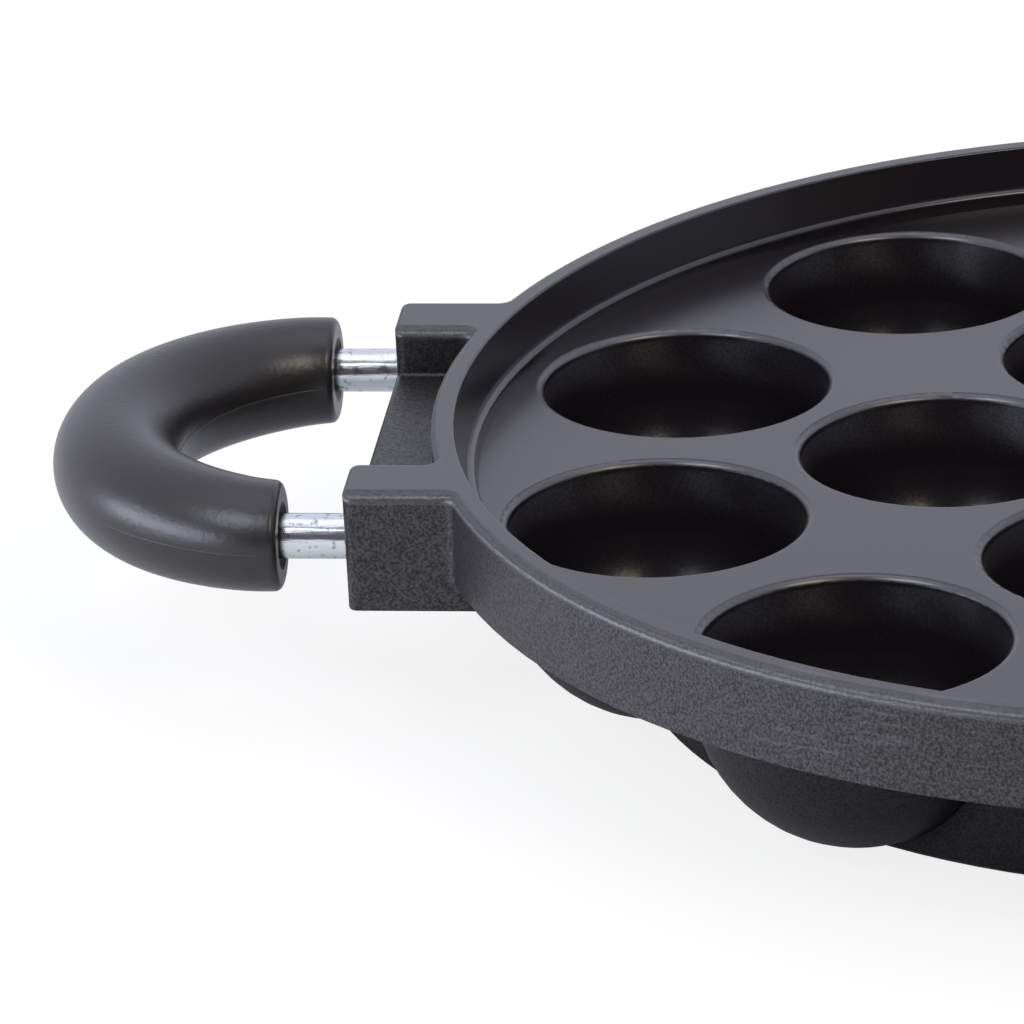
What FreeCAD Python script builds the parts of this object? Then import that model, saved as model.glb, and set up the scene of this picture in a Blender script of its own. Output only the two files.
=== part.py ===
import FreeCAD, Part
import math
import os

import Sketcher

# A cast pan with round cups for small dumplings, and a bent wire handle with a moulded grip on each side.
# The pan's foot stands on z = 0, the pan's axis is Z, and the two handles lie along X.

DIMENSIONS = [
    # Dish: a shallow tray with a flat land on its rim
    ("pan_height", 39.5, "from the foot to the top of the rim"),
    ("rim_diameter", 240.0, "outside of the rim"),
    ("rim_depth", 14.6, "height of the outer wall"),
    ("rim_land", 3.4, "width of the flat top of the rim"),
    ("rim_foot", 4.2, "width of the outer wall's lower end"),
    ("rim_round", 1.1, "rounding of the upper outer edges of the rim and the lugs"),
    ("land_round", 0.4, "rounding of the rim's upper inner edge"),
    ("ledge_inset", 5.25, "from the outside of the rim to the ledge inside it"),
    ("ledge_depth", 6.3, "from the top of the rim to the ledge"),
    ("ledge_width", 1.25, "ledge that runs round the inside of the wall"),
    ("ledge_round", 1.0, "rounding of the ledge's edge"),
    ("ledge_slope", 0.35, "run of the steep slope from the ledge to the floor"),
    ("floor_depth", 8.8, "from the top of the rim to the floor"),
    ("floor_thickness", 3.2, "floor plate between the cups"),
    # Cups: a bowl, a tapered wall and a rounded lip
    ("cup_mouth_diameter", 46.8, "outside of the lip's rounding"),
    ("cup_lip_round", 1.2, "rounding of the lip"),
    ("cup_taper", 1.5, "how much narrower the bowl is than the mouth inside its lip"),
    ("cup_wall", 3.1, "thickness of a cup's wall"),
    ("cup_flat_depth", 0.1, "how much of each round cup is cut off flat, level with the foot"),
    ("outer_cup_margin", 1.25, "floor between the ledge's slope and the outer cups"),
    ("outer_cup_gap", 5.0, "least floor between two cups of the outer ring"),
    ("inner_cup_gap", 2.0, "least floor between two cups of the inner ring"),
    ("ring_gap", 3.2, "floor between a cup of the inner ring and its outer neighbours"),
    # Foot: a ring under the middles of the outer cups
    ("foot_width", 3.0, "width of the face that the pan stands on"),
    ("foot_draft", 1.0, "how much the ring widens inward up to the floor plate"),
    ("foot_bevel", 0.6, "bevel along both edges of the foot"),
    # Lugs: two on each side, joined by a web
    ("lug_spacing", 67.6, "between the centres of a handle's two lugs, and of its rod's two ends"),
    ("lug_width", 11.5, "thickness of a lug"),
    ("lug_reach", 9.7, "from the outside of the rim to the end of a lug"),
    ("lug_depth", 19.3, "height of a lug"),
    ("lug_draft_angle", 0.7, "draft of the lug's sides, in degrees"),
    ("lug_corner_round", 1.6, "rounding of a lug's upright corners"),
    ("lug_root_round", 2.0, "hollow corner between a lug and the wall"),
    ("lug_foot_round", 0.5, "rounding of a lug's lower edges"),
    ("web_drop", 8.1, "from the top of the rim to the web"),
    ("web_thickness", 4.0, "plate between two lugs"),
    ("web_setback", 0.05, "from the end of the lugs to the web's edge"),
    ("web_round", 0.8, "rounding of the web's outer edges"),
    ("web_root_round", 0.6, "hollow corner between the web and what carries it"),
    # Rod: round wire bent to a U, its ends set into the lugs
    ("rod_diameter", 6.8, "wire of the handle"),
    ("rod_drop", 9.4, "from the top of the rim to the rod's axis"),
    ("socket_depth", 12.0, "hole in a lug for the rod's end"),
    ("socket_end_gap", 0.4, "from the rod's end to the bottom of its hole"),
    ("bare_length", 9.8, "rod left bare between a lug and the grip"),
    ("bend_reach", 29.8, "from the ends of the grip to the middle of the bend"),
    ("bend_corner_radius", 20.0, "tighter bend at the two corners"),
    # Grip: moulded round the rod, thickest at its middle
    ("grip_end_diameter", 16.5, "outside of the grip at its ends"),
    ("grip_middle_diameter", 19.3, "outside of the grip at its middle"),
    ("grip_end_round", 1.2, "rounding of the grip's end edges"),
    ("grip_mouth_flare", 1.8, "flare of the bore where the rod comes out"),
    # Fits
    ("socket_clearance", 0.05, "gap between the rod and its hole in the lug"),
    ("grip_clearance", 0.05, "gap between the rod and the grip's bore"),
]

# Heights and reaches that several features share
RIM_RADIUS = "Dims.rim_diameter / 2"
RIM_TOP = "Dims.pan_height"
WALL_FOOT = "(Dims.pan_height - Dims.rim_depth)"
FLOOR_TOP = "(Dims.pan_height - Dims.floor_depth)"
FLOOR_UNDER = "(Dims.pan_height - Dims.floor_depth - Dims.floor_thickness)"
LUG_FOOT = "(Dims.pan_height - Dims.lug_depth)"
WEB_TOP = "(Dims.pan_height - Dims.web_drop)"
BOWL_RADIUS = "(Dims.cup_mouth_diameter / 2 - Dims.cup_lip_round - Dims.cup_taper)"
BOWL_CENTRE = f"({BOWL_RADIUS} + Dims.cup_wall - Dims.cup_flat_depth)"
LUG_END = "(Dims.rim_diameter / 2 + Dims.lug_reach)"
ROD_HEIGHT = "(Dims.pan_height - Dims.rod_drop)"
ROD_END = "(Dims.rim_diameter / 2 + Dims.lug_reach - Dims.socket_depth + Dims.socket_end_gap)"
BEND_START = "(Dims.rim_diameter / 2 + Dims.lug_reach + Dims.bare_length)"
BEND_END = "(Dims.rim_diameter / 2 + Dims.lug_reach + Dims.bare_length + Dims.bend_reach)"
HALF_SPACING = "Dims.lug_spacing / 2"
# The outer cups stand inside the ledge, and as many fit round their ring as the gap between two allows
OUTER_RING = (
    "(Dims.rim_diameter / 2 - Dims.ledge_inset - Dims.ledge_width - Dims.ledge_slope"
    " - Dims.outer_cup_margin - Dims.cup_mouth_diameter / 2)"
)
OUTER_COUNT = f"floor(180 deg / asin((Dims.cup_mouth_diameter + Dims.outer_cup_gap) / (2 * {OUTER_RING})))"
OUTER_TURN = f"(180 deg / {OUTER_COUNT})"
# A cup of the inner ring lies between two outer ones, at the same gap from both
INNER_RING = (
    f"({OUTER_RING} * cos({OUTER_TURN})"
    f" - sqrt((Dims.cup_mouth_diameter + Dims.ring_gap) ^ 2 - ({OUTER_RING} * sin({OUTER_TURN})) ^ 2))"
)
INNER_PITCH = f"((Dims.cup_mouth_diameter + Dims.inner_cup_gap) / (2 * {INNER_RING}))"
INNER_COUNT = f"({INNER_PITCH} < 1 ? floor(180 deg / asin({INNER_PITCH})) : 1)"
INNER_TURN = f"(180 deg / {INNER_COUNT})"
# The radius that joins two corner arcs of the bend smoothly at the wanted reach
MIDDLE_RADIUS = (
    "(Dims.bend_reach ^ 2 + (Dims.lug_spacing / 2 - Dims.bend_corner_radius) ^ 2"
    " - Dims.bend_corner_radius ^ 2) / (2 * (Dims.bend_reach - Dims.bend_corner_radius))"
)
# A cutting outline runs this far past the face that it opens
OVERRUN = "1"


def make_sheet(doc):
    """The driving dimensions, one in each row."""
    sheet = doc.addObject("Spreadsheet::Sheet", "Dims")
    for row, (alias, value, meaning) in enumerate(DIMENSIONS, start=1):
        sheet.set(f"A{row}", alias)
        sheet.set(f"B{row}", str(value))
        sheet.set(f"C{row}", meaning)
        sheet.setAlias(f"B{row}", alias)
    doc.recompute()
    return sheet


def origin_item(body, role):
    """One of a body's own origin planes or axes."""
    return next(item for item in body.Origin.OriginFeatures if item.Role == role)


class Outline:
    """A sketch on one of a body's origin planes, with every size bound to the sheet."""

    def __init__(self, body, name, plane, lift=None, turn=None):
        self.sketch = body.newObject("Sketcher::SketchObject", name)
        self.sketch.AttachmentSupport = [(origin_item(body, plane), "")]
        self.sketch.MapMode = "FlatFace"
        if lift:
            self.sketch.setExpression("AttachmentOffset.Base.z", lift)
        if turn:
            upright = FreeCAD.Rotation(FreeCAD.Vector(0, 1, 0), 1)
            self.sketch.AttachmentOffset = FreeCAD.Placement(FreeCAD.Vector(), upright)
            self.sketch.setExpression("AttachmentOffset.Rotation.Angle", turn)
        self.named = 0

    def value(self, expression):
        return float(self.sketch.Document.Dims.evalExpression(expression))

    def line(self, start, end, construction=False):
        segment = Part.LineSegment(FreeCAD.Vector(*start, 0), FreeCAD.Vector(*end, 0))
        return self.sketch.addGeometry(segment, construction)

    def arc(self, centre, radius, first, last):
        """An arc drawn anticlockwise, its angles in degrees."""
        circle = Part.Circle(FreeCAD.Vector(*centre, 0), FreeCAD.Vector(0, 0, 1), radius)
        bow = Part.ArcOfCircle(circle, math.radians(first), math.radians(last))
        return self.sketch.addGeometry(bow, False)

    def tie(self, kind, *where):
        self.sketch.addConstraint(Sketcher.Constraint(kind, *where))

    def size(self, kind, *where, to):
        """A measured constraint, bound to an expression on the sheet."""
        index = self.sketch.addConstraint(Sketcher.Constraint(kind, *where, self.value(to)))
        self.named += 1
        name = f"{kind}{self.named}"
        self.sketch.renameConstraint(index, name)
        self.sketch.setExpression(f"Constraints.{name}", to)

    def place(self, item, point, across=None, up=None):
        """Puts one point of an item at measured distances from the sketch's origin."""
        if across == "0":
            self.tie("PointOnObject", item, point, -2)
        elif across:
            self.size("DistanceX", -1, 1, item, point, to=across)
        if up == "0":
            self.tie("PointOnObject", item, point, -1)
        elif up:
            self.size("DistanceY", -1, 1, item, point, to=up)

    def polygon(self, corners):
        """A closed outline through corners that are given as pairs of expressions."""
        points = [(self.value(across), self.value(up)) for across, up in corners]
        lines = [self.line(point, points[(index + 1) % len(points)]) for index, point in enumerate(points)]
        for index, item in enumerate(lines):
            self.tie("Coincident", item, 2, lines[(index + 1) % len(lines)], 1)
            self.place(item, 1, *corners[index])

    def circle(self, across, up, diameter):
        centre = FreeCAD.Vector(self.value(across), self.value(up), 0)
        ring = Part.Circle(centre, FreeCAD.Vector(0, 0, 1), self.value(diameter) / 2)
        item = self.sketch.addGeometry(ring, False)
        self.size("Diameter", item, to=diameter)
        self.place(item, 3, across, up)


def checked(body, feature):
    """Recomputes a new feature, and stops if it failed."""
    body.Document.recompute()
    if feature.Shape.isNull() or not feature.Shape.isValid() or "Invalid" in feature.State:
        raise RuntimeError(f"{body.Label}: {feature.Name} failed")
    return feature


def revolved(body, name, outline, cut=False, axis="V_Axis"):
    kind = "PartDesign::Groove" if cut else "PartDesign::Revolution"
    before = body.Shape.Volume if cut else 0
    feature = body.newObject(kind, name)
    feature.Profile = outline.sketch
    feature.ReferenceAxis = (outline.sketch, [axis])
    feature.Angle = 360
    checked(body, feature)
    if cut and feature.Shape.Volume >= before:
        raise RuntimeError(f"{name} removes nothing")
    return feature


def padded(body, name, outline, depth, taper=None, both_ways=False):
    """A pad that grows down from its sketch, or evenly to both sides of it."""
    feature = body.newObject("PartDesign::Pad", name)
    feature.Profile = outline.sketch
    feature.setExpression("Length", depth)
    if both_ways:
        feature.SideType = "Symmetric"
    else:
        feature.Reversed = True
    if taper:
        feature.setExpression("TaperAngle", taper)
    return checked(body, feature)


def around(body, name, originals, count):
    """Repeats features evenly round the pan's axis."""
    feature = body.newObject("PartDesign::PolarPattern", name)
    feature.Originals = originals
    feature.Axis = (origin_item(body, "Z_Axis"), [""])
    feature.Angle = 360
    feature.setExpression("Occurrences", count)
    body.Tip = feature
    return checked(body, feature)


def piped(body, name, profile, path, sections=(), cut=False):
    kind = "PartDesign::SubtractivePipe" if cut else "PartDesign::AdditivePipe"
    feature = body.newObject(kind, name)
    feature.Profile = profile.sketch
    feature.Spine = (path.sketch, [])
    feature.Mode = "Frenet"
    if sections:
        feature.Transformation = "Multisection"
        feature.Sections = [section.sketch for section in sections]
    return checked(body, feature)


def dressed(body, name, kind, wanted, size):
    """A fillet or chamfer on every edge of the body that passes the test."""
    edges = [f"Edge{index}" for index, edge in enumerate(body.Shape.Edges, start=1) if wanted(edge)]
    base = body.Tip
    feature = body.newObject(kind, name)
    feature.Base = (base, edges)
    feature.setExpression("Size" if kind.endswith("Chamfer") else "Radius", size)
    return checked(body, feature)


def shallow_cup(outline, ring, construction):
    """The inside of a cup in section: bowl, tapered wall and lip, each tangent to the next."""
    lip = outline.value("Dims.cup_lip_round")
    bowl_radius = outline.value(BOWL_RADIUS)
    centre = (outline.value(ring), outline.value(BOWL_CENTRE))
    mouth = outline.value("Dims.cup_mouth_diameter / 2")
    rise = outline.value(f"{FLOOR_TOP} - Dims.cup_lip_round") - centre[1]
    lean = math.degrees(math.acos((bowl_radius + lip) / math.hypot(mouth, rise)) - math.atan2(rise, mouth))
    across, up = math.cos(math.radians(lean)), math.sin(math.radians(lean))
    lip_centre = (centre[0] + mouth, centre[1] + rise)
    bowl = outline.arc(centre, bowl_radius, -90, -lean)
    wall = outline.line(
        (centre[0] + bowl_radius * across, centre[1] - bowl_radius * up),
        (lip_centre[0] - lip * across, lip_centre[1] + lip * up),
    )
    rim = outline.arc(lip_centre, lip, 90, 180 - lean)
    outline.place(bowl, 3, ring, BOWL_CENTRE)
    outline.size("Radius", bowl, to=BOWL_RADIUS)
    outline.place(rim, 3, f"{ring} + Dims.cup_mouth_diameter / 2", f"{FLOOR_TOP} - Dims.cup_lip_round")
    outline.size("Radius", rim, to="Dims.cup_lip_round")
    outline.tie("Tangent", bowl, 2, wall, 1)
    outline.tie("Tangent", wall, 2, rim, 2)
    outline.place(bowl, 1, across=ring)
    outline.place(rim, 1, across=f"{ring} + Dims.cup_mouth_diameter / 2")
    if construction:
        for item in (bowl, wall, rim):
            outline.sketch.toggleConstruction(item)
    return bowl, wall, rim


def cup_axis(outline, ring):
    """The upright axis of a cup, kept as the first construction line."""
    low = outline.value(BOWL_CENTRE)
    axis = outline.line((outline.value(ring), low), (outline.value(ring), low + 1), construction=True)
    outline.tie("Vertical", axis)
    outline.place(axis, 1, ring, BOWL_CENTRE)
    outline.place(axis, 2, up=f"{BOWL_CENTRE} + 1")


def closed_to_axis(outline, ring, bottom, edge, end, top):
    """Closes a cup's section over its top and down its axis."""
    middle = outline.value(ring)
    shape = outline.sketch.Geometry[edge]
    corner = (shape.StartPoint if end == 1 else shape.EndPoint)
    height = outline.value(top)
    lid = outline.line((corner.x, height), (middle, height))
    shaft = outline.line((middle, height), (middle, outline.sketch.Geometry[bottom].StartPoint.y))
    outline.tie("Horizontal", lid)
    outline.tie("Vertical", shaft)
    outline.tie("Coincident", lid, 2, shaft, 1)
    outline.tie("Coincident", shaft, 2, bottom, 1)
    outline.place(lid, 1, up=top)
    return lid


def add_cups(body, word, ring, turn, count):
    """One ring of cups, from the outside: each cup's shell hangs under the floor plate."""
    shell = Outline(body, f"{word}ShellSection", "XZ_Plane", turn=turn)
    cup_axis(shell, ring)
    bowl, wall, rim = shallow_cup(shell, ring, construction=True)
    centre = (shell.value(ring), shell.value(BOWL_CENTRE))
    radius = shell.value(f"{BOWL_RADIUS} + Dims.cup_wall")
    inner = shell.sketch.Geometry[wall]
    run, climb = inner.EndPoint.x - inner.StartPoint.x, inner.EndPoint.y - inner.StartPoint.y
    lean = math.atan2(run, climb)
    top = f"({FLOOR_TOP} - Dims.floor_thickness / 2)"
    start = (centre[0] + radius * math.cos(lean), centre[1] - radius * math.sin(lean))
    height = shell.value(top) - start[1]
    outer_bowl = shell.arc(centre, radius, -90, -math.degrees(lean))
    outer_wall = shell.line(start, (start[0] + height * math.tan(lean), start[1] + height))
    shell.place(outer_bowl, 3, ring, BOWL_CENTRE)
    shell.size("Radius", outer_bowl, to=f"{BOWL_RADIUS} + Dims.cup_wall")
    shell.place(outer_bowl, 1, across=ring)
    shell.tie("Tangent", outer_bowl, 2, outer_wall, 1)
    shell.tie("Parallel", wall, outer_wall)
    lid = closed_to_axis(shell, ring, outer_bowl, outer_wall, 2, top)
    shell.tie("Coincident", outer_wall, 2, lid, 1)
    first = revolved(body, f"{word}Shell", shell, axis="Axis0")
    return around(body, f"{word}Shells", [first], count)


def cut_cups(body, word, ring, turn, count):
    """The hollows of one ring of cups."""
    hollow = Outline(body, f"{word}CupSection", "XZ_Plane", turn=turn)
    cup_axis(hollow, ring)
    bowl, wall, rim = shallow_cup(hollow, ring, construction=False)
    top = f"({FLOOR_TOP} + {OVERRUN})"
    lip_top = hollow.sketch.Geometry[rim].StartPoint
    side = hollow.line((lip_top.x, lip_top.y), (lip_top.x, hollow.value(top)))
    hollow.tie("Vertical", side)
    hollow.tie("Coincident", rim, 1, side, 1)
    lid = closed_to_axis(hollow, ring, bowl, side, 2, top)
    hollow.tie("Coincident", side, 2, lid, 1)
    first = revolved(body, f"{word}Cup", hollow, cut=True, axis="Axis0")
    return around(body, f"{word}Cups", [first], count)


def rounded_bar(outline, end, root, low, high, corner):
    """A bar from its square root to its outer end, where both corners are rounded."""
    bend = outline.value(corner)
    left, right = outline.value(end), outline.value(root)
    bottom_up, top_up = outline.value(low), outline.value(high)
    top = outline.line((right, top_up), (left + bend, top_up))
    top_corner = outline.arc((left + bend, top_up - bend), bend, 90, 180)
    tip = outline.line((left, top_up - bend), (left, bottom_up + bend))
    low_corner = outline.arc((left + bend, bottom_up + bend), bend, 180, 270)
    bottom = outline.line((left + bend, bottom_up), (right, bottom_up))
    closing = outline.line((right, bottom_up), (right, top_up))
    outline.tie("Tangent", top, 2, top_corner, 1)
    outline.tie("Tangent", top_corner, 2, tip, 1)
    outline.tie("Tangent", tip, 2, low_corner, 1)
    outline.tie("Tangent", low_corner, 2, bottom, 1)
    outline.tie("Coincident", bottom, 2, closing, 1)
    outline.tie("Coincident", closing, 2, top, 1)
    outline.tie("Horizontal", top)
    outline.tie("Horizontal", bottom)
    outline.tie("Vertical", tip)
    outline.tie("Equal", top_corner, low_corner)
    outline.size("Radius", top_corner, to=corner)
    outline.place(tip, 1, across=end)
    outline.place(closing, 1, root, low)
    outline.place(closing, 2, root, high)


# The lugs reach in under the wall, where the hollow underside trims them
LUG_ROOT = (
    "sqrt((Dims.rim_diameter / 2 - Dims.rim_foot) ^ 2"
    " - (Dims.lug_spacing / 2 + Dims.lug_width / 2) ^ 2)"
)


def make_pan(doc):
    """The casting: tray, cups, foot ring, four lugs and two webs."""
    body = doc.addObject("PartDesign::Body", "PanBody")
    body.Label = "pan_body"

    blank = Outline(body, "BlankSection", "XZ_Plane")
    blank.polygon([("0", WALL_FOOT), (RIM_RADIUS, WALL_FOOT), (RIM_RADIUS, RIM_TOP), ("0", RIM_TOP)])
    revolved(body, "Blank", blank)

    lugs = Outline(body, "LugPlan", "XY_Plane", lift=RIM_TOP)
    for middle in (HALF_SPACING, f"-{HALF_SPACING}"):
        near, far = f"({middle} - Dims.lug_width / 2)", f"({middle} + Dims.lug_width / 2)"
        rounded_bar(lugs, f"-{LUG_END}", f"-{LUG_ROOT}", near, far, "Dims.lug_corner_round")
    left_lugs = padded(body, "LeftLugs", lugs, "Dims.lug_depth", taper="-Dims.lug_draft_angle")
    web = Outline(body, "WebSection", "XZ_Plane")
    web_end, web_foot = f"(Dims.web_setback - {LUG_END})", f"({WEB_TOP} - Dims.web_thickness)"
    rounded_bar(web, web_end, f"-{LUG_ROOT}", web_foot, WEB_TOP, "Dims.web_round")
    left_web = padded(body, "LeftWeb", web, "Dims.lug_spacing", both_ways=True)
    around(body, "Sides", [left_lugs, left_web], "2")

    tray = Outline(body, "TraySection", "XZ_Plane")
    land = f"({RIM_RADIUS} - Dims.rim_land)"
    ledge_outer = f"({RIM_RADIUS} - Dims.ledge_inset)"
    ledge_inner = f"({RIM_RADIUS} - Dims.ledge_inset - Dims.ledge_width)"
    slope_foot = f"({RIM_RADIUS} - Dims.ledge_inset - Dims.ledge_width - Dims.ledge_slope)"
    ledge = "(Dims.pan_height - Dims.ledge_depth)"
    tray.polygon([
        ("0", FLOOR_TOP), (slope_foot, FLOOR_TOP), (ledge_inner, ledge), (ledge_outer, ledge),
        (land, RIM_TOP), (land, f"{RIM_TOP} + {OVERRUN}"), ("0", f"{RIM_TOP} + {OVERRUN}"),
    ])
    revolved(body, "Tray", tray, cut=True)

    under = Outline(body, "UndersideSection", "XZ_Plane")
    recess = f"({RIM_RADIUS} - Dims.rim_foot)"
    recess_top = f"({RIM_RADIUS} - Dims.rim_foot - Dims.foot_draft)"
    below = f"({LUG_FOOT} - {OVERRUN})"
    under.polygon([
        ("0", FLOOR_UNDER), (recess_top, FLOOR_UNDER), (recess, WALL_FOOT), (recess, below), ("0", below),
    ])
    revolved(body, "Underside", under, cut=True)

    add_cups(body, "Outer", OUTER_RING, OUTER_TURN, OUTER_COUNT)
    add_cups(body, "Inner", INNER_RING, INNER_TURN, INNER_COUNT)

    foot = Outline(body, "FootSection", "XZ_Plane")
    foot_inner = f"({OUTER_RING} - Dims.foot_width / 2)"
    foot_outer = f"({OUTER_RING} + Dims.foot_width / 2)"
    foot_top = f"({FLOOR_TOP} - Dims.floor_thickness / 2)"
    bevel_outer = f"({foot_outer} + Dims.foot_bevel)"
    bevel_inner = f"({foot_inner} - Dims.foot_bevel)"
    foot.polygon([
        (foot_inner, "0"), (foot_outer, "0"), (bevel_outer, "Dims.foot_bevel"), (bevel_outer, foot_top),
        (f"({bevel_inner} - Dims.foot_draft)", foot_top), (bevel_inner, "Dims.foot_bevel"),
    ])
    revolved(body, "Foot", foot)
    flats = Outline(body, "FlatSection", "XZ_Plane")
    flats.polygon([("0", "0"), ("0", f"-{OVERRUN}"), (RIM_RADIUS, f"-{OVERRUN}"), (RIM_RADIUS, "0")])
    revolved(body, "Flats", flats, cut=True)

    cut_cups(body, "Outer", OUTER_RING, OUTER_TURN, OUTER_COUNT)
    cut_cups(body, "Inner", INNER_RING, INNER_TURN, INNER_COUNT)

    sockets = Outline(body, "SocketPlan", "YZ_Plane", lift=f"-{LUG_END} - {OVERRUN}")
    socket_diameter = "Dims.rod_diameter + 2 * Dims.socket_clearance"
    sockets.circle(HALF_SPACING, ROD_HEIGHT, socket_diameter)
    sockets.circle(f"-{HALF_SPACING}", ROD_HEIGHT, socket_diameter)
    before = body.Shape.Volume
    left_sockets = body.newObject("PartDesign::Pocket", "LeftSockets")
    left_sockets.Profile = sockets.sketch
    left_sockets.setExpression("Length", f"Dims.socket_depth + {OVERRUN}")
    left_sockets.Reversed = True
    checked(body, left_sockets)
    if body.Shape.Volume >= before:
        raise RuntimeError("the sockets remove nothing")
    around(body, "Sockets", [left_sockets], "2")
    round_pan(body)
    return body


def edge_points(edge):
    """Both ends of an edge, and then its middle."""
    middle = edge.valueAt((edge.FirstParameter + edge.LastParameter) / 2)
    return [vertex.Point for vertex in edge.Vertexes] + [middle]


def at_height(points, height):
    return all(abs(point.z - height) < 0.001 for point in points)


def from_axis(point):
    return math.hypot(point.x, point.y)


def round_pan(body):
    """Hollow corners where the lugs meet the wall, then the rounding of the open edges."""
    value = body.Document.Dims.evalExpression
    rim, land = value(RIM_RADIUS), value(f"{RIM_RADIUS} - Dims.rim_land")
    ledge_end = value(f"{RIM_RADIUS} - Dims.ledge_inset - Dims.ledge_width")
    ledge_height = value("Dims.pan_height - Dims.ledge_depth")
    top, web_top, lug_foot = value(RIM_TOP), value(WEB_TOP), value(LUG_FOOT)
    lug_side = value("Dims.lug_spacing / 2 - Dims.lug_width / 2")

    def upright_root(edge):
        points = edge_points(edge)
        on_wall = all(abs(from_axis(point) - rim) < 0.01 for point in points)
        by_lug = all(abs(point.y) > lug_side / 2 for point in points)
        upright = abs(points[0].z - points[1].z) > 1 and abs(points[0].x - points[1].x) < 2
        return on_wall and by_lug and upright

    def top_outline(edge):
        points = edge_points(edge)
        return at_height(points, top) and from_axis(points[-1]) > land + 1

    def on_ring(edge, radius, height):
        points = edge_points(edge)
        return at_height(points, height) and all(abs(from_axis(point) - radius) < 0.001 for point in points)

    def land_edge(edge):
        return on_ring(edge, land, top)

    def ledge_edge(edge):
        return on_ring(edge, ledge_end, ledge_height)

    def web_root(edge):
        points = edge_points(edge)
        outside = all(from_axis(point) > rim - 0.01 for point in points)
        free = abs(points[-1].y) < lug_side / 2 and from_axis(points[-1]) > rim + 1
        return at_height(points, web_top) and outside and not free

    def lug_foot_outline(edge):
        points = edge_points(edge)
        return at_height(points, lug_foot) and from_axis(points[-1]) > rim

    dressed(body, "LugRoots", "PartDesign::Fillet", upright_root, "Dims.lug_root_round")
    dressed(body, "WebRoots", "PartDesign::Fillet", web_root, "Dims.web_root_round")
    dressed(body, "TopEdges", "PartDesign::Fillet", top_outline, "Dims.rim_round")
    dressed(body, "LandEdge", "PartDesign::Fillet", land_edge, "Dims.land_round")
    dressed(body, "LedgeEdge", "PartDesign::Fillet", ledge_edge, "Dims.ledge_round")
    dressed(body, "LugFeet", "PartDesign::Fillet", lug_foot_outline, "Dims.lug_foot_round")


def bend_path(outline, legs):
    """The handle's centre line: a U of three tangent arcs, with straight legs where they are wanted."""
    start, reach = -outline.value(BEND_START), outline.value("Dims.bend_reach")
    corner, middle = outline.value("Dims.bend_corner_radius"), outline.value(MIDDLE_RADIUS)
    half = outline.value(HALF_SPACING)
    join = math.degrees(math.atan2(half - corner, reach - middle))
    upper = outline.arc((start, half - corner), corner, 90, join)
    back = outline.arc((start - reach + middle, 0), middle, join, 360 - join)
    lower = outline.arc((start, corner - half), corner, 360 - join, 270)
    outline.tie("Tangent", upper, 2, back, 1)
    outline.tie("Tangent", back, 2, lower, 1)
    outline.tie("Equal", upper, lower)
    outline.size("Radius", upper, to="Dims.bend_corner_radius")
    outline.size("Radius", back, to=MIDDLE_RADIUS)
    outline.place(back, 3, up="0")
    outline.place(upper, 1, f"-{BEND_START}", HALF_SPACING)
    outline.place(upper, 3, across=f"-{BEND_START}")
    outline.place(lower, 2, f"-{BEND_START}", f"-{HALF_SPACING}")
    if not legs:
        return
    end = -outline.value(ROD_END)
    for arc, point, side in ((upper, 1, 1), (lower, 2, -1)):
        leg = outline.line((end, side * half), (start, side * half))
        outline.tie("Horizontal", leg)
        outline.tie("Coincident", leg, 2, arc, point)
        outline.place(leg, 1, across=f"-{ROD_END}")


def make_rod(doc, name, label, turn):
    """A handle's rod, bent to a U, with both ends set into the lugs."""
    body = doc.addObject("PartDesign::Body", name)
    body.Label = label
    path = Outline(body, f"{name}Path", "XY_Plane", lift=ROD_HEIGHT)
    bend_path(path, legs=True)
    section = Outline(body, f"{name}Section", "YZ_Plane", lift=f"-{ROD_END}")
    section.circle(HALF_SPACING, ROD_HEIGHT, "Dims.rod_diameter")
    piped(body, f"{name}Wire", section, path)
    body.Placement = FreeCAD.Placement(FreeCAD.Vector(), FreeCAD.Rotation(FreeCAD.Vector(0, 0, 1), turn))
    return body


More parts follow.
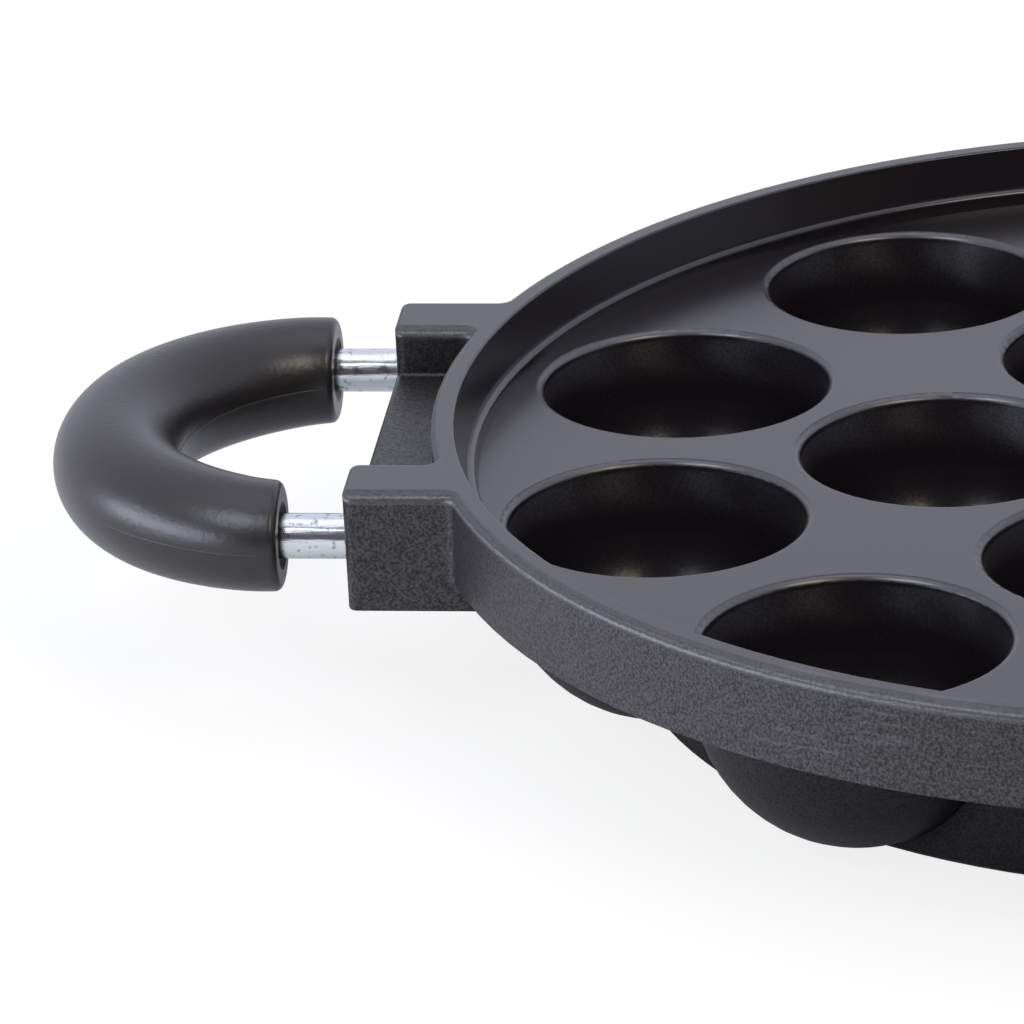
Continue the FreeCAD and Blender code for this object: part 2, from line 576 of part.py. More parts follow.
def make_grip(doc, name, label, turn):
    """A handle's grip: a thick tube that swells towards its middle, with the rod's bore through it."""
    body = doc.addObject("PartDesign::Body", name)
    body.Label = label
    path = Outline(body, f"{name}Path", "XY_Plane", lift=ROD_HEIGHT)
    bend_path(path, legs=False)
    sections = []
    for place, plane, lift, across, diameter in (
        ("Start", "YZ_Plane", f"-{BEND_START}", HALF_SPACING, "Dims.grip_end_diameter"),
        ("Middle", "XZ_Plane", None, f"-{BEND_END}", "Dims.grip_middle_diameter"),
        ("End", "YZ_Plane", f"-{BEND_START}", f"-{HALF_SPACING}", "Dims.grip_end_diameter"),
    ):
        section = Outline(body, f"{name}{place}", plane, lift=lift)
        section.circle(across, ROD_HEIGHT, diameter)
        sections.append(section)
    piped(body, f"{name}Tube", sections[0], path, sections[1:])

    bore_path = Outline(body, f"{name}BorePath", "XY_Plane", lift=ROD_HEIGHT)
    bend_path(bore_path, legs=True)
    bore = Outline(body, f"{name}Bore", "YZ_Plane", lift=f"-{ROD_END}")
    bore.circle(HALF_SPACING, ROD_HEIGHT, "Dims.rod_diameter + 2 * Dims.grip_clearance")
    before = body.Shape.Volume
    piped(body, f"{name}Hollow", bore, bore_path, cut=True)
    if body.Shape.Volume >= before:
        raise RuntimeError("the bore removes nothing")

    value = doc.Dims.evalExpression
    start, half, height = -value(BEND_START), value(HALF_SPACING), value(ROD_HEIGHT)

    def end_edge(edge, radius):
        point = edge.valueAt((edge.FirstParameter + edge.LastParameter) / 2)
        from_axis = math.hypot(abs(point.y) - half, point.z - height)
        on_end = all(abs(vertex.X - start) < 0.001 for vertex in edge.Vertexes)
        return on_end and abs(point.x - start) < 0.001 and abs(from_axis - radius) < 0.05

    bore_radius = value("Dims.rod_diameter / 2 + Dims.grip_clearance")
    end_radius = value("Dims.grip_end_diameter / 2")
    dressed(body, f"{name}Mouths", "PartDesign::Chamfer", lambda edge: end_edge(edge, bore_radius),
            "Dims.grip_mouth_flare")
    dressed(body, f"{name}Ends", "PartDesign::Fillet", lambda edge: end_edge(edge, end_radius),
            "Dims.grip_end_round")
    body.Placement = FreeCAD.Placement(FreeCAD.Vector(), FreeCAD.Rotation(FreeCAD.Vector(0, 0, 1), turn))
    return body


def main():
    doc = FreeCAD.newDocument("DumplingPan")
    make_sheet(doc)
    bodies = [
        make_pan(doc),
        make_rod(doc, "LeftRod", "left_handle_rod", 0),
        make_grip(doc, "LeftGrip", "left_handle_grip", 0),
        make_rod(doc, "RightRod", "right_handle_rod", 180),
        make_grip(doc, "RightGrip", "right_handle_grip", 180),
    ]
    doc.recompute()
    for item in doc.Objects:
        if "Invalid" in item.State or "Error" in item.State:
            raise RuntimeError(f"{item.Name} is {item.State}")
    for body in bodies:
        if body.Shape.isNull() or not body.Shape.isValid():
            raise RuntimeError(f"{body.Label} has no valid shape")
    os.makedirs("parts", exist_ok=True)
    for body in bodies:
        body.Shape.exportStep(f"parts/{body.Label}.step")
        box = body.Shape.BoundBox
        print(f"{body.Label}: {len(body.Shape.Solids)} solid, {body.Shape.Volume / 1000:.1f} cm3, "
              f"{box.XLength:.1f} x {box.YLength:.1f} x {box.ZLength:.1f} mm, lowest {box.ZMin:.2f}")


main()
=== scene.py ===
# %% [markdown]
# A cast pan for round dumplings
#
# The pan is one casting with fifteen round cups, and each side carries a bent wire in a thick black grip.
# The shapes come from the CAD model, which is packed as the frame. This lesson gives them their finishes,
# adds the fine line that the mould leaves on each grip, and lights and frames the picture.

# %% Load the frame
import math

import bpy
from mathutils import Matrix, Vector


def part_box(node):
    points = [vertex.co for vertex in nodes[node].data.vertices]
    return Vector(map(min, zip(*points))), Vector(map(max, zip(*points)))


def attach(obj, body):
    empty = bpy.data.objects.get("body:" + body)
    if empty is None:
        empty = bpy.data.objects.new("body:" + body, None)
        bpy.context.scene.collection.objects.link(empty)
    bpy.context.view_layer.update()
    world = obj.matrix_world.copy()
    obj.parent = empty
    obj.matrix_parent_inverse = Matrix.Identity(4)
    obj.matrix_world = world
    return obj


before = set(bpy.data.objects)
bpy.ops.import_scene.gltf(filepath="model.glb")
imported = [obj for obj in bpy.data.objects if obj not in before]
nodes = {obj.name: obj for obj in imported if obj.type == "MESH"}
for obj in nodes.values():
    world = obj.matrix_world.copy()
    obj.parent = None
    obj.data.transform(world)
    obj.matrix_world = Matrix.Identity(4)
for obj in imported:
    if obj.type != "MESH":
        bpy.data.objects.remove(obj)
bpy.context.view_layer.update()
pan_low, pan_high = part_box("pan_body")
rim_top = pan_high.z
print("nodes:", sorted(nodes))
print("pan:", [round(1000 * side, 1) for side in pan_high - pan_low], "mm")

# %% [markdown]
# The camera stands low and far away with a long lens, as in product photographs, so that circles turn into
# neat ellipses. It looks at the middle of the rim and is then turned to the left, so that one handle shows
# whole and the picture's edge cuts through the cups on the right.

# %% Set up the camera
CAMERA_DISTANCE = 1.094
CAMERA_RISE = math.radians(21.558)
PAN_TURN = math.radians(0.55)
TURN_LEFT = math.radians(5.648)
TILT = math.radians(-0.916)
ROLL = math.radians(-0.085)
LENS = 254.39
SENSOR_WIDTH = 36
NEAREST, FARTHEST = 0.05, 50


def standing_camera(distance, rise, turn, height):
    """The matrix of a camera that looks at the point of the pan's axis at that height."""
    back = Vector((0, -math.cos(rise), math.sin(rise)))
    right = Vector((1, 0, 0))
    up = back.cross(right)
    place = Matrix((right, up, back)).transposed().to_4x4()
    place.translation = back * distance
    return Matrix.Translation((0, 0, height)) @ Matrix.Rotation(turn, 4, "Z") @ place


camera_data = bpy.data.cameras.new("camera")
camera_data.sensor_width = SENSOR_WIDTH
camera_data.lens = LENS
camera_data.clip_start, camera_data.clip_end = NEAREST, FARTHEST
camera = bpy.data.objects.new("camera", camera_data)
bpy.context.scene.collection.objects.link(camera)
camera.matrix_world = (
    standing_camera(CAMERA_DISTANCE, CAMERA_RISE, PAN_TURN, rim_top)
    @ Matrix.Rotation(TURN_LEFT, 4, "Y")
    @ Matrix.Rotation(TILT, 4, "X")
    @ Matrix.Rotation(ROLL, 4, "Z")
)
bpy.context.scene.camera = camera
print("camera at", [round(part, 3) for part in camera.matrix_world.translation], "m")

# %% [markdown]
# Shaders and the moulding line are built from nodes. A short helper adds a node with its settings and joins
# outputs to its inputs, and a few more make the steps that come back: sums on numbers, steps on vectors,
# and soft random values.

# %% Helpers for node trees
def add(tree, kind, values=None, **settings):
    """A node of that kind. Values go to its sockets and settings to the node itself."""
    made = tree.nodes.new(kind)
    for name, value in settings.items():
        setattr(made, name, value)
    for socket, value in (values or {}).items():
        if isinstance(value, bpy.types.NodeSocket):
            tree.links.new(value, made.inputs[socket])
        else:
            made.inputs[socket].default_value = value
    return made


def maths(tree, operation, first, second=0.0, third=0.0):
    """One sum on numbers or sockets, and its result."""
    return add(tree, "ShaderNodeMath", {0: first, 1: second, 2: third}, operation=operation).outputs[0]


def vectors(tree, operation, first, second=(0, 0, 0), scale=1.0):
    """One step on vectors, and its result, which is a number for a length and a dot product."""
    values = {0: first, 1: second, 3: scale}
    made = add(tree, "ShaderNodeVectorMath", values, operation=operation)
    return made.outputs["Value" if operation in ("LENGTH", "DOT_PRODUCT") else "Vector"]


def noise(tree, where, size, detail=2.0):
    """Soft random values with lumps of about that size in metres."""
    values = {"Vector": where, "Scale": 0.5 / size, "Detail": detail}
    return add(tree, "ShaderNodeTexNoise", values).outputs["Fac"]


print("node helpers ready")

# %% [markdown]
# A finish changes from place to place by masks. A mask is a value that is 1 inside a zone and 0 outside it.
# A fade makes one out of a measure, such as a height. Two numbers go with each fade: the measure where the
# mask is 0, and the measure where it is 1.

# %% Helpers for masks
def fade(tree, value, start, end):
    """0 where the value is at start, 1 where it is at end, and smooth between them."""
    values = {"Value": value, "From Min": start, "From Max": end}
    return add(tree, "ShaderNodeMapRange", values, interpolation_type="SMOOTHSTEP").outputs[0]


def opposite(tree, mask):
    """1 where the mask is 0, and 0 where it is 1."""
    return maths(tree, "SUBTRACT", 1.0, mask)


def shared(tree, first, *others):
    """The zone that all of the masks share."""
    for other in others:
        first = maths(tree, "MULTIPLY", first, other)
    return first


def weighted(tree, base, *pairs):
    """A base value plus each mask times its weight."""
    for mask, weight in pairs:
        base = maths(tree, "MULTIPLY_ADD", mask, weight, base)
    return base


print("mask helpers ready")

# %% [markdown]
# Colours are mixed in the same way, and a finish is put on every CAD piece that is made of it.

# %% Helpers for colours and finishes
def ramp(tree, value, stops):
    """Grey levels between two stops on a value. Each stop is a pair of place and level."""
    made = add(tree, "ShaderNodeValToRGB", {"Fac": value})
    for point, (place, level) in zip(made.color_ramp.elements, stops):
        point.position = place
        point.color = (level, level, level, 1)
    return made.outputs["Color"]


def blend(tree, share, first, second):
    """A colour between two others. Each is a socket or three numbers."""
    colours = [part if isinstance(part, bpy.types.NodeSocket) else (*part, 1) for part in (first, second)]
    values = {0: share, 6: colours[0], 7: colours[1]}
    return add(tree, "ShaderNodeMix", values, data_type="RGBA").outputs[2]


def new_finish(name):
    """A material without nodes, and its tree."""
    made = bpy.data.materials.new(name)
    made.use_nodes = True
    made.node_tree.nodes.clear()
    return made, made.node_tree


def wear(finish, *names):
    """Puts a finish on CAD nodes."""
    for name in names:
        nodes[name].data.materials.clear()
        nodes[name].data.materials.append(finish)


print("finish helpers ready")

# %% [markdown]
# The floor and the world make the white studio. The floor shows nearly white to the camera and still keeps
# the shadow under the pan, because it is part glow and part matt paper. The pan mirrors only a tenth of the
# glow, so its sides stay dark. Seen from below the floor is clear, and the underside of the pan can be
# looked at.

# %% Floor
FLOOR_HALF = 6.0
FLOOR_DROP = 0.0002
GLOW_SEEN, GLOW_MIRRORED = 0.8, 0.10
GLOW_STRENGTH = 1.04
PAPER = (0.75, 0.75, 0.75, 1)
floor_mesh = bpy.data.meshes.new("floor")
corners = [(x * FLOOR_HALF, y * FLOOR_HALF, 0) for x, y in ((-1, -1), (1, -1), (1, 1), (-1, 1))]
floor_mesh.from_pydata(corners, [], [(0, 1, 2, 3)])
floor = bpy.data.objects.new("floor", floor_mesh)
bpy.context.scene.collection.objects.link(floor)
floor.location.z = -FLOOR_DROP
floor_finish, tree = new_finish("studio_floor")
path = add(tree, "ShaderNodeLightPath").outputs
seen = maths(tree, "MULTIPLY", path["Is Camera Ray"], GLOW_SEEN)
mirrored = maths(tree, "MULTIPLY", path["Is Glossy Ray"], GLOW_MIRRORED)
share = maths(tree, "MAXIMUM", seen, mirrored)
paper = add(tree, "ShaderNodeBsdfDiffuse", {"Color": PAPER}).outputs[0]
glow = add(tree, "ShaderNodeEmission", {"Color": (1, 1, 1, 1), "Strength": GLOW_STRENGTH}).outputs[0]
lit = add(tree, "ShaderNodeMixShader", {0: share, 1: paper, 2: glow}).outputs[0]
below = add(tree, "ShaderNodeNewGeometry").outputs["Backfacing"]
clear = add(tree, "ShaderNodeBsdfTransparent").outputs[0]
both = add(tree, "ShaderNodeMixShader", {0: below, 1: lit, 2: clear}).outputs[0]
add(tree, "ShaderNodeOutputMaterial", {"Surface": both})
floor_mesh.materials.append(floor_finish)
print("floor laid,", 2 * FLOOR_HALF, "m wide")

# %% [markdown]
# A dark shiny surface mirrors the room, so the room matters more than the lamps. It is bright behind the
# pan, where level faces look, so the tray turns grey. It is dark in front, where upright faces look, so the
# walls of the cups stay nearly black. Low on the left it glows, and fainter on the right, for the sides of
# the grips and the lugs. Straight overhead it is brighter, for the faces that lean towards the camera. Each
# fade here reads one part of a direction of length 1: X points to the right, Y to the back and Z up.

# %% World
ROOM_BEHIND, ROOM_BEFORE = (0.94, 0.97, 1.12), (0.12, 0.10, 0.12)
LEFT_GLOW, RIGHT_GLOW = (0.75, 0.80, 0.90), (0.40, 0.37, 0.35)
CEILING_GLOW = 0.75
BEHIND, LOW, CEILING = (-0.42, -0.15), (0.36, 0.12), (0.86, 0.95)
LEFT, RIGHT = (-0.28, -0.62), (0.65, 0.85)
WHITE = (1, 1, 1)
world = bpy.data.worlds.new("studio")
world.use_nodes = True
bpy.context.scene.world = world
tree = world.node_tree
tree.nodes.clear()
direction = add(tree, "ShaderNodeTexCoord").outputs["Generated"]
toward = add(tree, "ShaderNodeSeparateXYZ", {0: direction}).outputs
low = fade(tree, toward["Z"], *LOW)
room = blend(tree, shared(tree, low, fade(tree, toward["X"], *LEFT)), ROOM_BEFORE, LEFT_GLOW)
room = blend(tree, shared(tree, low, fade(tree, toward["X"], *RIGHT)), room, RIGHT_GLOW)
room = blend(tree, fade(tree, toward["Y"], *BEHIND), room, ROOM_BEHIND)
strength = weighted(tree, 1.0, (fade(tree, toward["Z"], *CEILING), CEILING_GLOW))
camera_sees = add(tree, "ShaderNodeLightPath").outputs["Is Camera Ray"]
shade = blend(tree, camera_sees, room, WHITE)
strength = add(tree, "ShaderNodeMix", {0: camera_sees, 2: strength, 3: 1.0}).outputs[0]
light = add(tree, "ShaderNodeBackground", {"Color": shade, "Strength": strength})
add(tree, "ShaderNodeOutputWorld", {"Surface": light.outputs[0]})
print("world lit with", len(tree.nodes), "nodes")

# %% [markdown]
# Two wide softboxes stand in front, the left one cool and the right one warm. Each leaves a bright arc on
# the lip of every cup and a faint band on the wall below it. A long low panel on the left lights the
# outside wall from the side, and brings out its grain.

# %% Lamps
AIM = Vector((0, 0, 0.02))


def softbox(name, place, size, watts, colour):
    """A flat lamp that faces the middle of the pan."""
    data = bpy.data.lights.new(name, "AREA")
    data.color = colour
    data.shape = "RECTANGLE"
    data.size, data.size_y = size
    data.energy = watts
    lamp = bpy.data.objects.new(name, data)
    bpy.context.scene.collection.objects.link(lamp)
    lamp.location = place
    lamp.rotation_euler = (AIM - Vector(place)).to_track_quat("-Z", "Y").to_euler()
    lamp.visible_camera = False


softbox("left_softbox", place=(-0.56, -0.62, 0.80), size=(0.50, 0.42), watts=5.0, colour=(0.84, 0.93, 1.0))
softbox("right_softbox", place=(0.92, -1.12, 1.36), size=(0.80, 0.68), watts=12.5, colour=(1.0, 0.91, 0.78))
softbox("side_panel", place=(-1.10, -0.42, 0.15), size=(1.0, 0.3), watts=8.5, colour=(0.80, 0.86, 1.0))
print("lamps:", sorted(data.name for data in bpy.data.lights))

# %% [markdown]
# The casting wears a dark non-stick coating, satin on the tray and in the cups and grainy on the outside.
# One material serves the whole casting: it measures where a point lies and which way it faces, and makes
# masks for the outside, the level faces, the underside and the cups. Masks from positions need no painted
# texture. Their radii and heights are this pan's own, in metres, and would have to change with its sizes.

# %% Zones of the casting
OUTER_RADIUS = (0.1176, 0.1186)
LEVEL_FACING, UNDER_FACING = (0.90, 0.99), (0.12, 0.05)
POLISHED_DROP = (0.0030, 0.0020)
CUP_HEIGHT = (0.0302, 0.0290)
coating, tree = new_finish("coated_casting")
coords = add(tree, "ShaderNodeTexCoord").outputs
where, normal = coords["Object"], coords["Normal"]
place = add(tree, "ShaderNodeSeparateXYZ", {0: where}).outputs
facing = add(tree, "ShaderNodeSeparateXYZ", {0: normal}).outputs
across = add(tree, "ShaderNodeCombineXYZ", {0: place["X"], 1: place["Y"]}).outputs[0]
outer = fade(tree, vectors(tree, "LENGTH", across), *OUTER_RADIUS)
inside = opposite(tree, outer)
level = fade(tree, facing["Z"], *LEVEL_FACING)
under = fade(tree, facing["Z"], *UNDER_FACING)
drop = maths(tree, "SUBTRACT", rim_top, place["Z"])
polished = shared(tree, level, fade(tree, drop, *POLISHED_DROP))
coarse = maths(tree, "MAXIMUM", shared(tree, outer, opposite(tree, polished)), under)
in_cup = shared(tree, fade(tree, place["Z"], *CUP_HEIGHT), opposite(tree, coarse))
print("zones of the coating measured from the rim's top at", round(1000 * rim_top, 2), "mm")

# %% [markdown]
# The outside edges are worn soft by the polishing wheel, more than their rounding in the solid. Instead of
# more geometry, the shading normal turns from upright to level over the first two millimetres below the
# top.

# %% Soft outside edges
SOFT_EDGE = 0.0021
lift = maths(tree, "SUBTRACT", 1.0, maths(tree, "DIVIDE", drop, SOFT_EDGE))
lift = add(tree, "ShaderNodeClamp", {0: lift}).outputs[0]
lean = maths(tree, "SQRT", maths(tree, "SUBTRACT", 1.0, maths(tree, "MULTIPLY", lift, lift)))
sideways = add(tree, "ShaderNodeCombineXYZ", {0: facing["X"], 1: facing["Y"]}).outputs[0]
sideways = vectors(tree, "SCALE", vectors(tree, "NORMALIZE", sideways), scale=lean)
upward = add(tree, "ShaderNodeCombineXYZ", {2: lift}).outputs[0]
soft_edge = vectors(tree, "ADD", sideways, upward)
on_edge = shared(tree, outer, maths(tree, "LESS_THAN", drop, SOFT_EDGE))
normals = {0: on_edge, 4: normal, 5: soft_edge}
soft_normal = add(tree, "ShaderNodeMix", normals, data_type="VECTOR").outputs[1]
print("outside edges softened over", 1000 * SOFT_EDGE, "mm")

# %% [markdown]
# Work leaves zones of its own, and some zones carry painted light. A turning tool cuts the walls of the cups.
# The lips of the cups and the outside edges reflect more strongly, a painted highlight that brightens the
# lamps' arcs and bands on them. Steep faces on the inside, the wall above the ledge, the bottoms of the bowls
# and the cups' shells under the tray reflect less, a painted shade for these hollows and undersides. Each
# zone is a slope, a height or both.

# %% Worked zones, painted highlights and painted shade
TURNED_HEIGHT, BOWL_HEIGHT = (0.0190, 0.0275), (0.019, 0.013)
STEEP_FACING = (0.50, 0.30)
WALL_HEIGHT = (0.0312, 0.0325)
LIP_FACING, LIP_HEIGHT = ((0.25, 0.45), (0.97, 0.85)), ((0.0272, 0.0286), (0.0316, 0.0311))
turned = shared(tree, in_cup, fade(tree, place["Z"], *TURNED_HEIGHT))
# Painted shade goes on the bowls' bottoms, steep inside faces, the wall above the ledge and the shells.
bowl = shared(tree, in_cup, fade(tree, place["Z"], *BOWL_HEIGHT))
steep = shared(tree, fade(tree, facing["Z"], *STEEP_FACING), inside)
ring_wall = shared(tree, steep, fade(tree, place["Z"], *WALL_HEIGHT))
shell = shared(tree, under, inside)
# Painted highlight: the lips of the cups reflect more strongly, and so do the outside edges below.
lip_faces = [fade(tree, facing["Z"], *band) for band in LIP_FACING]
lip_heights = [fade(tree, place["Z"], *band) for band in LIP_HEIGHT]
lip = shared(tree, *lip_faces, *lip_heights, inside)
edge_with_painted_highlight = shared(tree, on_edge, coarse)
print("worked and worn zones ready,", len(tree.nodes), "nodes so far")

# %% [markdown]
# Long use has scuffed the near stretch of the outside wall. The scuffs run round the pan, so they are
# random values on the angle and the height, with the angle squeezed to stretch them. A mask round one angle
# keeps them to that stretch.

# %% Scuffs on the near wall
SCUFF_SIZE, SCUFF_STRETCH = 0.0005, 0.012
SCUFF_LEVELS = (0.56, 0.70)
SCUFF_MIDDLE, SCUFF_SPREAD = -1.98, (0.26, 0.08)
SCUFF_HEIGHT = (0.0195, 0.0225)
angle = maths(tree, "ARCTAN2", place["Y"], place["X"])
round_wall = {0: maths(tree, "MULTIPLY", angle, SCUFF_STRETCH), 1: place["Z"]}
round_wall = add(tree, "ShaderNodeCombineXYZ", round_wall).outputs[0]
marks = fade(tree, noise(tree, round_wall, SCUFF_SIZE), *SCUFF_LEVELS)
apart = maths(tree, "ABSOLUTE", maths(tree, "SUBTRACT", angle, SCUFF_MIDDLE))
patch = shared(tree, fade(tree, apart, *SCUFF_SPREAD), fade(tree, place["Z"], *SCUFF_HEIGHT))
scuffs = shared(tree, marks, patch, outer)
print("scuffs round", round(math.degrees(SCUFF_MIDDLE)), "degrees")

# %% [markdown]
# The outside is as grainy as the sand it was cast in. Two sizes of noise make the bump, which is deep there
# and faint on the satin inside. A speckle of shinier and duller spots goes with it.

# %% Grain
FINE_SIZE, LUMP_SIZE, SPECKLE_SIZE = 0.00022, 0.00045, 0.00020
FINE_SHARE, LUMP_SHARE = 0.60, 0.40
SATIN_DEPTH, COARSE_DEPTH = 0.000008, 0.000045
SPECKLE_LEVELS = (0.30, 0.70)
fine = noise(tree, where, FINE_SIZE, detail=1.0)
lumps = noise(tree, where, LUMP_SIZE, detail=1.0)
height = weighted(tree, 0.0, (fine, FINE_SHARE), (lumps, LUMP_SHARE))
depth = weighted(tree, SATIN_DEPTH, (coarse, COARSE_DEPTH))
values = {"Strength": 1.0, "Distance": depth, "Height": height, "Normal": soft_normal}
grain = add(tree, "ShaderNodeBump", values).outputs[0]
speckle = fade(tree, noise(tree, where, SPECKLE_SIZE), *SPECKLE_LEVELS)
speckle = maths(tree, "SUBTRACT", speckle, 0.5)
print("grain", 1e6 * COARSE_DEPTH, "micrometres deep on the outside")

# %% [markdown]
# The shine and the roughness each start from the satin of the tray, and every zone adds to it or takes from
# it. Where the shine rises, on the outside edges and the lips, it is painted highlight, and where it falls,
# in the hollows and on the shells under the tray, it is painted shade. Turned walls and the bright outside
# edges stretch their reflections across the marks of the tool, which the anisotropic setting does. Its
# tangent points up the wall of a cup, and along the edge elsewhere. The way up leans by a hair, because on a
# level face the two would cancel out.

# %% Shine and roughness
SATIN_SHINE, SATIN_ROUGHNESS = 0.53, 0.25
STRETCH = 0.80
NEARLY_UP = (0.001, 0.002, 1.0)
spots = weighted(tree, 0.0, (coarse, 0.55), (in_cup, 0.20), (shell, -0.38))
# Painted shade: the shine falls in the hollows and on the shells under the tray, where shade lies.
shine_with_painted_shade = weighted(tree, SATIN_SHINE, (steep, -0.19), (ring_wall, -0.16), (shell, -0.12), (bowl, -0.18))
# Painted highlight: the shine rises on the outside edges and the lips of the cups.
shine = weighted(tree, shine_with_painted_shade, (speckle, spots), (edge_with_painted_highlight, 0.42), (lip, 0.42), (scuffs, 0.30))
shine = add(tree, "ShaderNodeClamp", {0: shine}).outputs[0]
gloss = weighted(tree, SATIN_ROUGHNESS, (coarse, 0.22), (turned, 0.10), (lip, 0.10))
along = vectors(tree, "CROSS_PRODUCT", NEARLY_UP, normal)
grain_way = add(tree, "ShaderNodeMix", {0: turned, 4: along, 5: NEARLY_UP}, data_type="VECTOR").outputs[1]
streaked = maths(tree, "MULTIPLY", maths(tree, "MAXIMUM", turned, edge_with_painted_highlight), STRETCH)
print("shine starts at", SATIN_SHINE, "and roughness at", SATIN_ROUGHNESS)

# %% [markdown]
# The coating is nearly black, with a touch of violet. Such a dark surface shows its form by reflections
# alone, so its index of refraction is a little above that of glass, which makes them stronger. All the
# zones meet in one shader, and the casting wears it.

# %% Coating on the pan
COATING_COLOUR = (0.0072, 0.0050, 0.0070, 1)
COATING_IOR = 1.55
skin = add(tree, "ShaderNodeBsdfPrincipled", {
    "Base Color": COATING_COLOUR, "Roughness": gloss, "IOR": COATING_IOR, "Specular IOR Level": shine,
    "Anisotropic": streaked, "Tangent": grain_way, "Normal": grain,
})
add(tree, "ShaderNodeOutputMaterial", {"Surface": skin.outputs[0]})
wear(coating, "pan_body")
print("coating on the pan,", len(tree.nodes), "nodes")

# %% [markdown]
# The rods are steel wire with a bright zinc plating, flecked with dark specks. Drawing the wire through a
# die leaves fine lines along it. They are a noise squeezed along X, which is the way the bare ends of the
# rods run.

# %% Plated wire
FLECK_SIZE, FLECK_LEVELS = 0.0006, [(0.30, 0.30), (0.43, 1.0)]
FLECK_COLOUR, ZINC_COLOUR = (0.12, 0.12, 0.13), (0.62, 0.64, 0.66)
LINE_SIZE, LINE_STRETCH, LINE_DEPTH = 0.0004, (0.12, 1, 1), 0.00006
WIRE_ROUGHNESS = 0.20
plating, tree = new_finish("plated_wire")
where = add(tree, "ShaderNodeTexCoord").outputs["Object"]
specks = ramp(tree, noise(tree, where, FLECK_SIZE), FLECK_LEVELS)
tint = blend(tree, specks, FLECK_COLOUR, ZINC_COLOUR)
lines = noise(tree, vectors(tree, "MULTIPLY", where, LINE_STRETCH), LINE_SIZE)
drawn = add(tree, "ShaderNodeBump", {"Strength": 1.0, "Distance": LINE_DEPTH, "Height": lines})
metal = add(tree, "ShaderNodeBsdfPrincipled", {
    "Base Color": tint, "Metallic": 1.0, "Roughness": WIRE_ROUGHNESS, "Normal": drawn.outputs[0],
})
add(tree, "ShaderNodeOutputMaterial", {"Surface": metal.outputs[0]})
wear(plating, "left_handle_rod", "right_handle_rod")
print("zinc on the rods")

# %% [markdown]
# The grips are moulded in black plastic. Their shine is broad and soft, which is its roughness. Their grain
# is faint, and much too fine for geometry, so it is a bump in the shader.

# %% Black grip
PLASTIC_COLOUR = (0.0120, 0.0095, 0.0100, 1)
PLASTIC_ROUGHNESS, PLASTIC_IOR = 0.34, 1.5
GRIP_GRAIN_SIZE, GRIP_GRAIN_DEPTH, GRIP_GRAIN_STRENGTH = 0.0004, 0.0002, 0.2
moulding, tree = new_finish("black_grip")
where = add(tree, "ShaderNodeTexCoord").outputs["Object"]
grip_grain = noise(tree, where, GRIP_GRAIN_SIZE)
values = {"Strength": GRIP_GRAIN_STRENGTH, "Distance": GRIP_GRAIN_DEPTH, "Height": grip_grain}
bump = add(tree, "ShaderNodeBump", values).outputs[0]
plastic = add(tree, "ShaderNodeBsdfPrincipled", {
    "Base Color": PLASTIC_COLOUR, "Roughness": PLASTIC_ROUGHNESS, "IOR": PLASTIC_IOR, "Normal": bump,
})
add(tree, "ShaderNodeOutputMaterial", {"Surface": plastic.outputs[0]})
wear(moulding, "left_handle_grip", "right_handle_grip")
print("black on the grips")

# %% [markdown]
# A grip is moulded in two halves of a mould, and the halves leave a fine raised line round it, in the plane
# of the bent wire. Geometry Nodes find its path with rays that strike the grip: one strand of the line
# follows the inside of the bend, where rays from the middle of the opening strike, and one the outside,
# where rays from a wide ring of points strike. Each point moves to where its ray strikes. Points whose ray
# misses are dropped, and so are those on the flat ends of the grip, which look straight at the pan. A drawn
# curve would look the same, but it would have to be drawn again for a grip of another shape.

# %% Points on one side of the grip
RAY_LENGTH = 0.3
LEAST_FACING = 0.25
BOW_POWER = 6.0


def points_on_grip(tree, given, ring, away, start, way, sign, most_pan_side):
    """The ring's points, each moved to where its ray strikes the grip and sunk a little into it."""
    grip = add(tree, "GeometryNodeObjectInfo", {"Object": given["Grip"]}).outputs["Geometry"]
    ray = {"Target Geometry": grip, "Source Position": start, "Ray Direction": way, "Ray Length": RAY_LENGTH}
    hit = add(tree, "GeometryNodeRaycast", ray).outputs
    level = vectors(tree, "DOT_PRODUCT", hit["Hit Normal"], away)
    faces = maths(tree, "GREATER_THAN", maths(tree, "MULTIPLY", level, sign), LEAST_FACING)
    pan_way = vectors(tree, "DOT_PRODUCT", hit["Hit Normal"], given["Pan Side"])
    kept = shared(tree, maths(tree, "LESS_THAN", pan_way, most_pan_side), faces, hit["Is Hit"])
    missed = maths(tree, "LESS_THAN", kept, 0.5)
    chain = add(tree, "GeometryNodeDeleteGeometry", {"Geometry": ring, "Selection": missed}).outputs[0]
    # At the end of the bend the strand sinks in whole, so that the line adds nothing to the pan's length.
    bow = maths(tree, "MAXIMUM", maths(tree, "MULTIPLY", pan_way, -1.0), 0.0)
    bow = maths(tree, "MULTIPLY", maths(tree, "POWER", bow, BOW_POWER), given["Thickness"])
    sunk = maths(tree, "MULTIPLY", maths(tree, "ADD", given["Sink"], bow), -1.0)
    inward = vectors(tree, "SCALE", hit["Hit Normal"], scale=sunk)
    laid = {"Geometry": chain, "Position": hit["Hit Position"], "Offset": inward}
    return add(tree, "GeometryNodeSetPosition", laid).outputs[0]


print("rays of up to", RAY_LENGTH, "m find the grip")

# %% [markdown]
# A thin round strand follows the points of each side. It is sunk into the plastic, so only its back shows.

# %% The tree for the moulding line
RING_POINTS, STRAND_SIDES = 300, 6
ANY_SIDE, NO_FLAT_END = 2.0, 0.8
INPUTS = {"Grip": "Object", "Middle": "Vector", "Pan Side": "Vector", "Reach": "Float",
          "Thickness": "Float", "Sink": "Float", "Finish": "Material"}


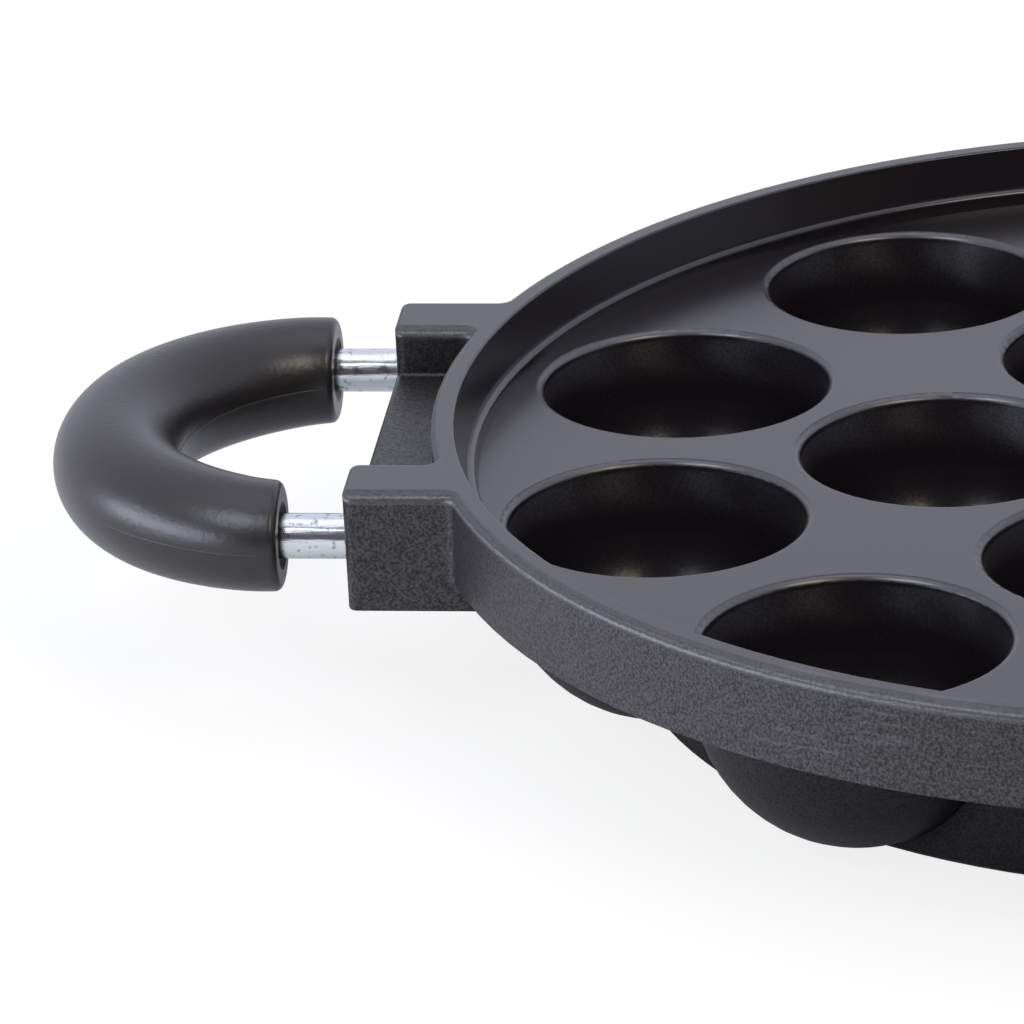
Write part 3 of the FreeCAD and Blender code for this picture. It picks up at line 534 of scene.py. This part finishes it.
def seam_tree():
    """A node tree that lays a fine ridge on a grip along the plane through its middle."""
    tree = bpy.data.node_groups.new("moulding_line", "GeometryNodeTree")
    for name, kind in INPUTS.items():
        tree.interface.new_socket(name, in_out="INPUT", socket_type="NodeSocket" + kind)
    tree.interface.new_socket("Ridge", in_out="OUTPUT", socket_type="NodeSocketGeometry")
    given = add(tree, "NodeGroupInput").outputs
    ring = {"Vertices": RING_POINTS, "Radius": given["Reach"]}
    ring = add(tree, "GeometryNodeMeshCircle", ring).outputs[0]
    ring = add(tree, "GeometryNodeSetPosition", {"Geometry": ring, "Offset": given["Middle"]}).outputs[0]
    spot = add(tree, "GeometryNodeInputPosition").outputs[0]
    away = vectors(tree, "NORMALIZE", vectors(tree, "SUBTRACT", spot, given["Middle"]))
    back = vectors(tree, "SCALE", away, scale=-1.0)
    profile = {"Radius": given["Thickness"], "Resolution": STRAND_SIDES}
    profile = add(tree, "GeometryNodeCurvePrimitiveCircle", profile).outputs["Curve"]
    strands = add(tree, "GeometryNodeJoinGeometry")
    sides = ((given["Middle"], away, -1.0, ANY_SIDE), (spot, back, 1.0, NO_FLAT_END))
    for side in sides:
        laid = points_on_grip(tree, given, ring, away, *side)
        path = add(tree, "GeometryNodeMeshToCurve", {0: laid}).outputs[0]
        strand = {"Curve": path, "Profile Curve": profile, "Fill Caps": True}
        strand = add(tree, "GeometryNodeCurveToMesh", strand).outputs[0]
        tree.links.new(strand, strands.inputs[0])
    smooth = add(tree, "GeometryNodeSetShadeSmooth", {0: strands.outputs[0]}).outputs[0]
    real = add(tree, "GeometryNodeRealizeInstances", {0: smooth}).outputs[0]
    dressed = add(tree, "GeometryNodeSetMaterial", {"Geometry": real, "Material": given["Finish"]}).outputs[0]
    add(tree, "NodeGroupOutput", {0: dressed})
    return tree


moulding_line = seam_tree()
print("moulding line tree:", len(moulding_line.nodes), "nodes")

# %% [markdown]
# The tree runs once for each grip. Its result is kept as a mesh of its own, so nothing has to be worked out
# again when the pan is placed, and it rides with the pan. The line has the finish of its grip.

# %% Moulding lines on the grips
BEND_TO_MIDDLE = 0.026
RING_REACH = 0.09
RIDGE_THICKNESS, RIDGE_SINK = 0.00016, 0.0001
for side, turn in (("left", -1), ("right", 1)):
    low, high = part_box(f"{side}_handle_grip")
    outermost = low.x if turn < 0 else high.x
    sizes = {
        "Grip": nodes[f"{side}_handle_grip"],
        "Middle": (outermost - BEND_TO_MIDDLE * turn, 0, (low.z + high.z) / 2),
        "Pan Side": (-turn, 0, 0), "Reach": RING_REACH,
        "Thickness": RIDGE_THICKNESS, "Sink": RIDGE_SINK, "Finish": moulding,
    }
    name = f"{side}_grip_line"
    ridge = bpy.data.objects.new(name, bpy.data.meshes.new(name))
    bpy.context.scene.collection.objects.link(ridge)
    maker = ridge.modifiers.new("moulding_line", "NODES")
    maker.node_group = moulding_line
    for item in moulding_line.interface.items_tree:
        if item.in_out == "INPUT":
            maker[item.identifier] = sizes[item.name]
    made = bpy.data.meshes.new_from_object(ridge.evaluated_get(bpy.context.evaluated_depsgraph_get()))
    ridge.modifiers.clear()
    ridge.data = made
    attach(ridge, "root")
    print(name, "has", len(made.polygons), "faces")

# %% [markdown]
# Last comes the picture's view transform.

# %% Finish
bpy.context.scene.view_settings.view_transform = "Standard"
